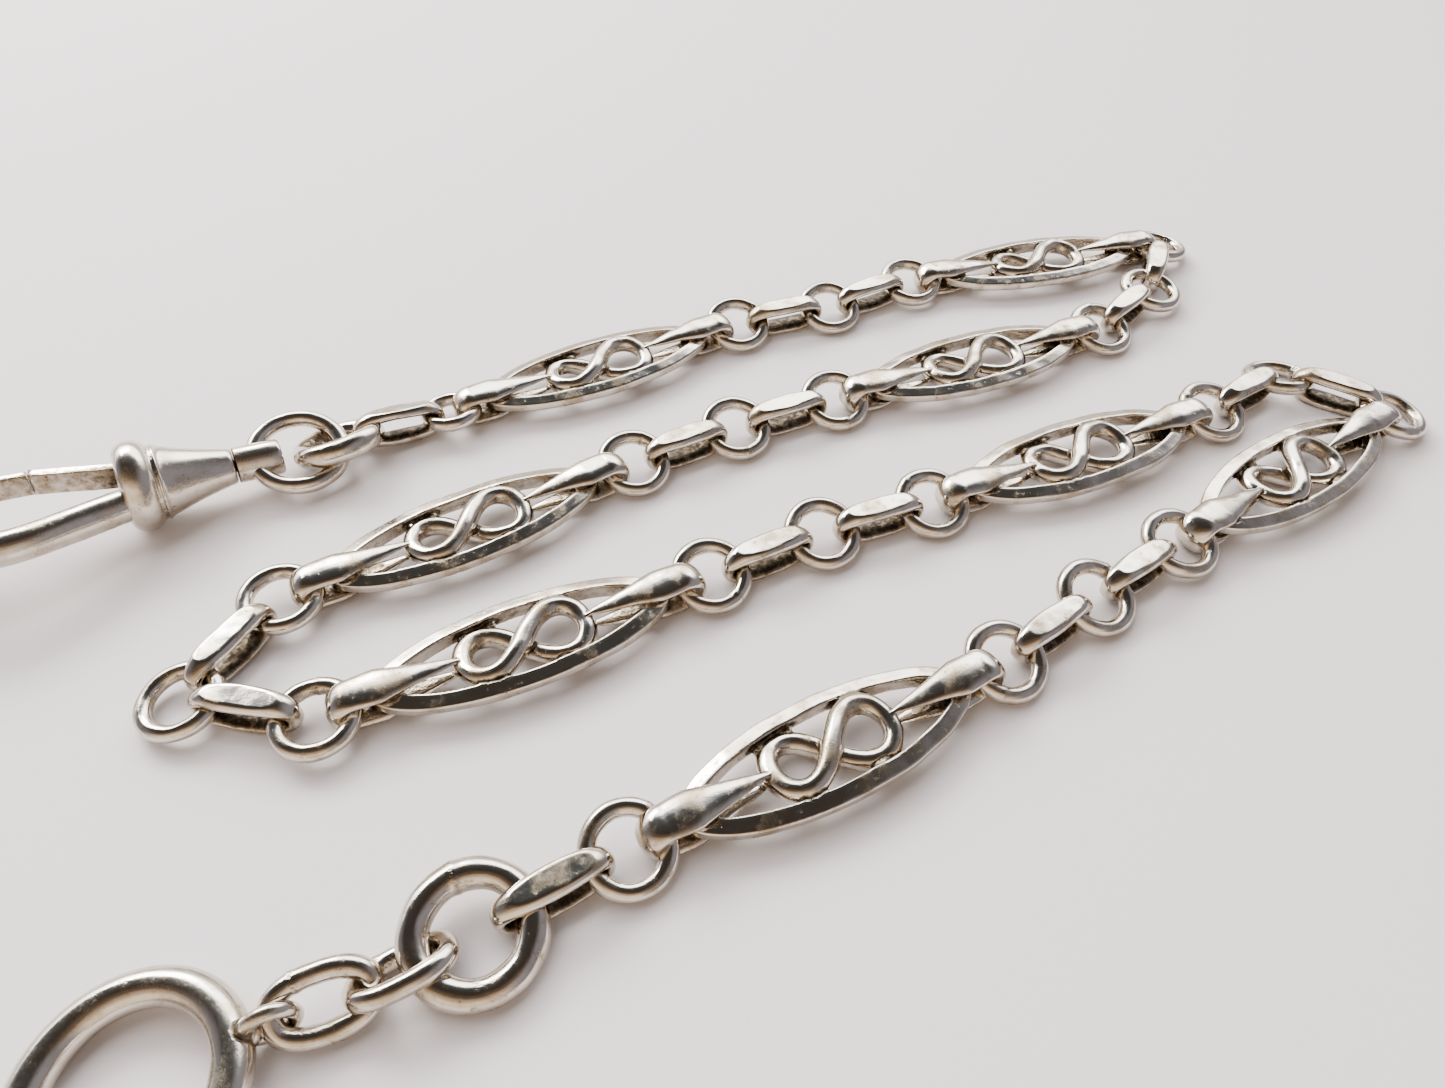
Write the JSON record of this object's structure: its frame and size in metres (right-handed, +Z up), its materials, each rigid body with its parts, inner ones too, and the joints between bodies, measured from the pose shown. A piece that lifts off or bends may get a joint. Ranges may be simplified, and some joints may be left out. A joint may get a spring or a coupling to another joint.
{
  "type": "pocket watch chain",
  "caption": "Silver pocket watch chain of boat-shaped openwork links and oblong connectors on round rings, with a swivel dog clip at one end and a bolt ring at the other.",
  "frame": {"origin": "middle of the underside of connector_09, where that link stands on the table", "axes": "+X along the laid-out chain's longer side, from the clip towards the turns, +Z up from the table"},
  "size_m": [0.1234, 0.094, 0.0074],
  "materials": {
    "silver": "old polished sterling silver, bright on the high places and darker in the recesses",
    "spring_steel": "plain spring steel"
  },
  "bodies": {
    "connector_01": {"connector_01": "silver"},
    "marquise_01": {"marquise_01": "silver"},
    "connector_02": {"connector_02": "silver"},
    "connector_03": {"connector_03": "silver"},
    "marquise_02": {"marquise_02": "silver"},
    "connector_04": {"connector_04": "silver"},
    "connector_05": {"connector_05": "silver"},
    "marquise_03": {"marquise_03": "silver"},
    "connector_06": {"connector_06": "silver"},
    "connector_07": {"connector_07": "silver"},
    "marquise_04": {"marquise_04": "silver"},
    "connector_08": {"connector_08": "silver"},
    "connector_09": {"connector_09": "silver"},
    "marquise_05": {"marquise_05": "silver"},
    "connector_10": {"connector_10": "silver"},
    "connector_11": {"connector_11": "silver"},
    "marquise_06": {"marquise_06": "silver"},
    "connector_12": {"connector_12": "silver"},
    "connector_13": {"connector_13": "silver"},
    "marquise_07": {"marquise_07": "silver"},
    "connector_14": {"connector_14": "silver"},
    "connector_15": {"connector_15": "silver"},
    "marquise_08": {"marquise_08": "silver"},
    "connector_16": {"connector_16": "silver"},
    "small_ring_01": {"small_ring_01": "silver"},
    "small_ring_02": {"small_ring_02": "silver"},
    "small_ring_03": {"small_ring_03": "silver"},
    "small_ring_04": {"small_ring_04": "silver"},
    "small_ring_05": {"small_ring_05": "silver"},
    "small_ring_06": {"small_ring_06": "silver"},
    "small_ring_07": {"small_ring_07": "silver"},
    "small_ring_08": {"small_ring_08": "silver"},
    "small_ring_09": {"small_ring_09": "silver"},
    "small_ring_10": {"small_ring_10": "silver"},
    "small_ring_11": {"small_ring_11": "silver"},
    "small_ring_12": {"small_ring_12": "silver"},
    "small_ring_13": {"small_ring_13": "silver"},
    "small_ring_14": {"small_ring_14": "silver"},
    "small_ring_15": {"small_ring_15": "silver"},
    "small_ring_16": {"small_ring_16": "silver"},
    "small_ring_17": {"small_ring_17": "silver"},
    "small_ring_18": {"small_ring_18": "silver"},
    "small_ring_19": {"small_ring_19": "silver"},
    "small_ring_20": {"small_ring_20": "silver"},
    "small_ring_21": {"small_ring_21": "silver"},
    "small_ring_22": {"small_ring_22": "silver"},
    "small_ring_23": {"small_ring_23": "silver"},
    "big_ring": {"big_ring": "silver"},
    "trace_link_01": {"trace_link_01": "silver"},
    "trace_link_02": {"trace_link_02": "silver"},
    "bolt_ring": {"bolt_ring_tube": "silver", "bolt_ring_spring": "spring_steel"},
    "bolt_ring_tongue": {"bolt_ring_tongue": "silver"},
    "heavy_ring": {"heavy_ring": "silver"},
    "swivel_ring": {"swivel_ring": "silver"},
    "swivel_stem": {"swivel_stem": "silver"},
    "clip": {"clip_bell": "silver", "clip_hook": "silver", "clip_gate_spring": "spring_steel"},
    "clip_gate": {"clip_gate": "silver"}
  },
  "joints": [
    {"name": "small_ring_13_pitch", "type": "hinge", "parent": "connector_09", "child": "small_ring_13", "pos_m": [0.00227, -0.00036, 0.0015], "axis": [-0.1568, -0.9854, -0.0665], "range_deg": [-35, 35]},
    {"name": "marquise_05_yaw", "type": "hinge", "parent": "small_ring_13", "child": "marquise_05", "pos_m": [0.00481, -0.00076, 0.00145], "axis": [-0.0103, 0.069, -0.9976], "range_deg": [-4.5, 25]},
    {"name": "small_ring_14_pitch", "type": "hinge", "parent": "marquise_05", "child": "small_ring_14", "pos_m": [0.02879, 0.01093, 0.0015], "axis": [0.4165, -0.855, -0.309], "range_deg": [-35, 35]},
    {"name": "connector_10_yaw", "type": "hinge", "parent": "small_ring_14", "child": "connector_10", "pos_m": [0.0311, 0.01206, 0.00149], "axis": [-0.1379, 0.2765, -0.9511], "range_deg": [-25, 25]},
    {"name": "small_ring_15_pitch", "type": "hinge", "parent": "connector_10", "child": "small_ring_15", "pos_m": [0.0375, 0.01532, 0.0015], "axis": [0.4295, -0.836, -0.3416], "range_deg": [-35, 35]},
    {"name": "connector_11_yaw", "type": "hinge", "parent": "small_ring_15", "child": "connector_11", "pos_m": [0.03979, 0.01648, 0.00155], "axis": [-0.1391, 0.3125, -0.9397], "range_deg": [-25, 25]},
    {"name": "small_ring_16_pitch", "type": "hinge", "parent": "connector_11", "child": "small_ring_16", "pos_m": [0.04649, 0.01906, 0.0015], "axis": [0.3353, -0.8779, -0.3419], "range_deg": [-35, 35]},
    {"name": "marquise_06_yaw", "type": "hinge", "parent": "small_ring_16", "child": "marquise_06", "pos_m": [0.04889, 0.01998, 0.00148], "axis": [-0.1309, 0.316, -0.9397], "range_deg": [-25, 25]},
    {"name": "small_ring_17_pitch", "type": "hinge", "parent": "marquise_06", "child": "small_ring_17", "pos_m": [0.07326, 0.03083, 0.0015], "axis": [0.3804, -0.8661, -0.3243], "range_deg": [-35, 35]},
    {"name": "connector_12_yaw", "type": "hinge", "parent": "small_ring_17", "child": "connector_12", "pos_m": [0.07561, 0.03189, 0.00143], "axis": [-0.1578, 0.2847, -0.9455], "range_deg": [-25, 25]},
    {"name": "small_ring_18_pitch", "type": "hinge", "parent": "connector_12", "child": "small_ring_18", "pos_m": [0.08156, 0.03589, 0.0015], "axis": [0.559, -0.8043, 0.2017], "range_deg": [-35, 35]},
    {"name": "connector_13_yaw", "type": "hinge", "parent": "small_ring_18", "child": "connector_13", "pos_m": [0.0837, 0.03729, 0.00116], "axis": [0.0021, -0.2419, -0.9703], "range_deg": [-25, 9]},
    {"name": "small_ring_19_pitch", "type": "hinge", "parent": "connector_13", "child": "small_ring_19", "pos_m": [0.08972, 0.03342, 0.0015], "axis": [-0.5363, -0.8386, 0.0958], "range_deg": [-35, 35]},
    {"name": "marquise_07_yaw", "type": "hinge", "parent": "small_ring_19", "child": "marquise_07", "pos_m": [0.09184, 0.03202, 0.00113], "axis": [-0.1736, -0.0015, -0.9848], "range_deg": [-25, 6]},
    {"name": "small_ring_20_pitch", "type": "hinge", "parent": "marquise_07", "child": "small_ring_20", "pos_m": [0.06976, 0.0171, 0.0015], "axis": [-0.5424, 0.8046, 0.2419], "range_deg": [-35, 35]},
    {"name": "connector_14_yaw", "type": "hinge", "parent": "small_ring_20", "child": "connector_14", "pos_m": [0.06763, 0.01566, 0.00151], "axis": [-0.137, 0.1994, -0.9703], "range_deg": [-25, 25]},
    {"name": "small_ring_21_pitch", "type": "hinge", "parent": "connector_14", "child": "small_ring_21", "pos_m": [0.06175, 0.01155, 0.0015], "axis": [0.5381, -0.7704, -0.342], "range_deg": [-35, 35]},
    {"name": "connector_15_yaw", "type": "hinge", "parent": "small_ring_21", "child": "connector_15", "pos_m": [0.05964, 0.01007, 0.00152], "axis": [-0.201, 0.2767, -0.9397], "range_deg": [-25, 25]},
    {"name": "small_ring_22_pitch", "type": "hinge", "parent": "connector_15", "child": "small_ring_22", "pos_m": [0.05391, 0.00575, 0.0015], "axis": [-0.569, 0.7482, 0.3412], "range_deg": [-35, 35]},
    {"name": "marquise_08_yaw", "type": "hinge", "parent": "small_ring_22", "child": "marquise_08", "pos_m": [0.05185, 0.00421, 0.00144], "axis": [-0.1863, 0.2868, -0.9397], "range_deg": [-25, 25]},
    {"name": "small_ring_23_pitch", "type": "hinge", "parent": "marquise_08", "child": "small_ring_23", "pos_m": [0.02852, -0.00873, 0.0015], "axis": [-0.4547, 0.8224, 0.342], "range_deg": [-35, 35]},
    {"name": "connector_16_yaw", "type": "hinge", "parent": "small_ring_23", "child": "connector_16", "pos_m": [0.02627, -0.00998, 0.00152], "axis": [-0.171, 0.2962, -0.9397], "range_deg": [-25, 25]},
    {"name": "small_ring_12_pitch", "type": "hinge", "parent": "connector_09", "child": "small_ring_12", "pos_m": [-0.00227, 0.00036, 0.0015], "axis": [0.1513, 0.985, 0.0828], "range_deg": [-35, 35]},
    {"name": "connector_08_yaw", "type": "hinge", "parent": "small_ring_12", "child": "connector_08", "pos_m": [-0.0048, 0.00077, 0.00121], "axis": [0.1234, 0.0643, -0.9903], "range_deg": [-25, 3.5]},
    {"name": "small_ring_11_pitch", "type": "hinge", "parent": "connector_08", "child": "small_ring_11", "pos_m": [-0.00167, 0.00721, 0.0015], "axis": [-0.8949, 0.4348, 0.1002], "range_deg": [-35, 35]},
    {"name": "marquise_04_yaw", "type": "hinge", "parent": "small_ring_11", "child": "marquise_04", "pos_m": [-0.00054, 0.00952, 0.00158], "axis": [-0.0771, 0.0706, -0.9945], "range_deg": [-25, 4.5]},
    {"name": "small_ring_10_pitch", "type": "hinge", "parent": "marquise_04", "child": "small_ring_10", "pos_m": [0.02232, 0.02327, 0.0015], "axis": [0.4854, -0.8047, -0.3419], "range_deg": [-35, 35]},
    {"name": "connector_07_yaw", "type": "hinge", "parent": "small_ring_10", "child": "connector_07", "pos_m": [0.02453, 0.02459, 0.00152], "axis": [-0.1684, 0.2977, -0.9397], "range_deg": [-23, 25]},
    {"name": "small_ring_09_pitch", "type": "hinge", "parent": "connector_07", "child": "small_ring_09", "pos_m": [0.03087, 0.02796, 0.0015], "axis": [0.4431, -0.8288, -0.3418], "range_deg": [-35, 35]},
    {"name": "connector_06_yaw", "type": "hinge", "parent": "small_ring_09", "child": "connector_06", "pos_m": [0.03314, 0.02916, 0.00153], "axis": [-0.1499, 0.3074, -0.9397], "range_deg": [-18, 25]},
    {"name": "small_ring_08_pitch", "type": "hinge", "parent": "connector_06", "child": "small_ring_08", "pos_m": [0.0397, 0.03209, 0.0015], "axis": [-0.3827, 0.8582, 0.342], "range_deg": [-35, 35]},
    {"name": "marquise_03_yaw", "type": "hinge", "parent": "small_ring_08", "child": "marquise_03", "pos_m": [0.04205, 0.03313, 0.00151], "axis": [0.1364, -0.3137, 0.9397], "range_deg": [-25, 15]},
    {"name": "small_ring_07_pitch", "type": "hinge", "parent": "marquise_03", "child": "small_ring_07", "pos_m": [0.0666, 0.04356, 0.0015], "axis": [0.3667, -0.8849, -0.287], "range_deg": [-35, 35]},
    {"name": "connector_05_yaw", "type": "hinge", "parent": "small_ring_07", "child": "connector_05", "pos_m": [0.06896, 0.04458, 0.00136], "axis": [-0.1635, 0.2424, -0.9563], "range_deg": [-5.2, 25]},
    {"name": "small_ring_06_pitch", "type": "hinge", "parent": "connector_05", "child": "small_ring_06", "pos_m": [0.07404, 0.04964, 0.0015], "axis": [0.6946, -0.699, -0.1699], "range_deg": [-35, 35]},
    {"name": "connector_04_yaw", "type": "hinge", "parent": "small_ring_06", "child": "connector_04", "pos_m": [0.07586, 0.05146, 0.00141], "axis": [-0.1456, 0.0946, -0.9848], "range_deg": [-4.5, 25]},
    {"name": "small_ring_05_pitch", "type": "hinge", "parent": "connector_04", "child": "small_ring_05", "pos_m": [0.07844, 0.05815, 0.0015], "axis": [0.9286, -0.363, -0.0775], "range_deg": [-35, 35]},
    {"name": "marquise_02_yaw", "type": "hinge", "parent": "small_ring_05", "child": "marquise_02", "pos_m": [0.07933, 0.06054, 0.0011], "axis": [-0.128, -0.1173, -0.9848], "range_deg": [-3.5, 25]},
    {"name": "small_ring_04_pitch", "type": "hinge", "parent": "marquise_02", "child": "small_ring_04", "pos_m": [0.05372, 0.05321, 0.0015], "axis": [-0.2646, 0.9339, 0.2406], "range_deg": [-35, 35]},
    {"name": "connector_03_yaw", "type": "hinge", "parent": "small_ring_04", "child": "connector_03", "pos_m": [0.05125, 0.05249, 0.00156], "axis": [-0.0906, 0.2243, -0.9703], "range_deg": [-6, 25]},
    {"name": "small_ring_03_pitch", "type": "hinge", "parent": "connector_03", "child": "small_ring_03", "pos_m": [0.04491, 0.04913, 0.0015], "axis": [-0.4478, 0.8331, 0.3246], "range_deg": [-35, 35]},
    {"name": "connector_02_yaw", "type": "hinge", "parent": "small_ring_03", "child": "connector_02", "pos_m": [0.04263, 0.04793, 0.00143], "axis": [0.1298, -0.2986, 0.9455], "range_deg": [-25, 8]},
    {"name": "small_ring_02_pitch", "type": "hinge", "parent": "connector_02", "child": "small_ring_02", "pos_m": [0.03585, 0.04558, 0.0015], "axis": [-0.3016, 0.8904, 0.341], "range_deg": [-35, 35]},
    {"name": "marquise_01_yaw", "type": "hinge", "parent": "small_ring_02", "child": "marquise_01", "pos_m": [0.03342, 0.04473, 0.00157], "axis": [-0.1364, 0.3137, -0.9397], "range_deg": [-13, 25]},
    {"name": "small_ring_01_pitch", "type": "hinge", "parent": "marquise_01", "child": "small_ring_01", "pos_m": [0.00986, 0.03222, 0.0015], "axis": [-0.467, 0.8781, -0.1045], "range_deg": [-35, 35]},
    {"name": "connector_01_yaw", "type": "hinge", "parent": "small_ring_01", "child": "connector_01", "pos_m": [0.00794, 0.0312, 0.0015], "axis": [0.0475, -0.0931, -0.9945], "range_deg": [-25, 25]},
    {"name": "big_ring_pitch", "type": "hinge", "parent": "connector_16", "child": "big_ring", "pos_m": [0.02083, -0.01325, 0.0015], "axis": [0.504, -0.8383, -0.2079], "range_deg": [-26, 26]},
    {"name": "trace_link_01_yaw", "type": "hinge", "parent": "big_ring", "child": "trace_link_01", "pos_m": [0.01783, -0.01505, 0.00149], "axis": [0.1055, -0.1791, 0.9781], "range_deg": [-25, 25]},
    {"name": "trace_link_02_swing", "type": "hinge", "parent": "trace_link_01", "child": "trace_link_02", "pos_m": [0.01181, -0.01853, 0.0015], "axis": [0.4045, -0.7006, 0.5878], "range_deg": [-35, 35]},
    {"name": "bolt_ring_swing", "type": "hinge", "parent": "trace_link_02", "child": "bolt_ring", "pos_m": [0.0078, -0.01996, 0.00184], "axis": [-0.2789, 0.7815, 0.5581], "range_deg": [-22, 28]},
    {"name": "bolt_ring_tongue_slide", "type": "hinge", "parent": "bolt_ring", "child": "bolt_ring_tongue", "pos_m": [0.00141, -0.02333, 0.00134], "axis": [-0.0521, -0.0265, 0.9983], "range_deg": [0, 54], "stiffness_Nm_per_rad": 0.01, "springref_deg": -5.73},
    {"name": "heavy_ring_pitch", "type": "hinge", "parent": "connector_01", "child": "heavy_ring", "pos_m": [0.00212, 0.02836, 0.0019], "axis": [0.524, -0.7483, 0.4067], "range_deg": [-35, 35]},
    {"name": "swivel_ring_turn", "type": "hinge", "parent": "heavy_ring", "child": "swivel_ring", "pos_m": [-0.0035, 0.02504, 0.00219], "axis": [-0.1793, 0.1801, -0.9672], "range_deg": [-25, 25]},
    {"name": "swivel_stem_pitch", "type": "hinge", "parent": "swivel_ring", "child": "swivel_stem", "pos_m": [-0.00674, 0.02339, 0.00249], "axis": [0.4232, -0.8734, -0.2411], "range_deg": [-35, 35]},
    {"name": "clip_swivel", "type": "hinge", "parent": "swivel_stem", "child": "clip", "pos_m": [-0.00794, 0.0227, 0.00268], "axis": [0.8576, 0.4951, -0.1392], "continuous": true},
    {"name": "clip_gate_hinge", "type": "hinge", "parent": "clip", "child": "clip_gate", "pos_m": [-0.01473, 0.02069, 0.00365], "axis": [0.1205, 0.0696, 0.9903], "range_deg": [0, 20], "stiffness_Nm_per_rad": 0.01, "springref_deg": -5.73}
  ]
}
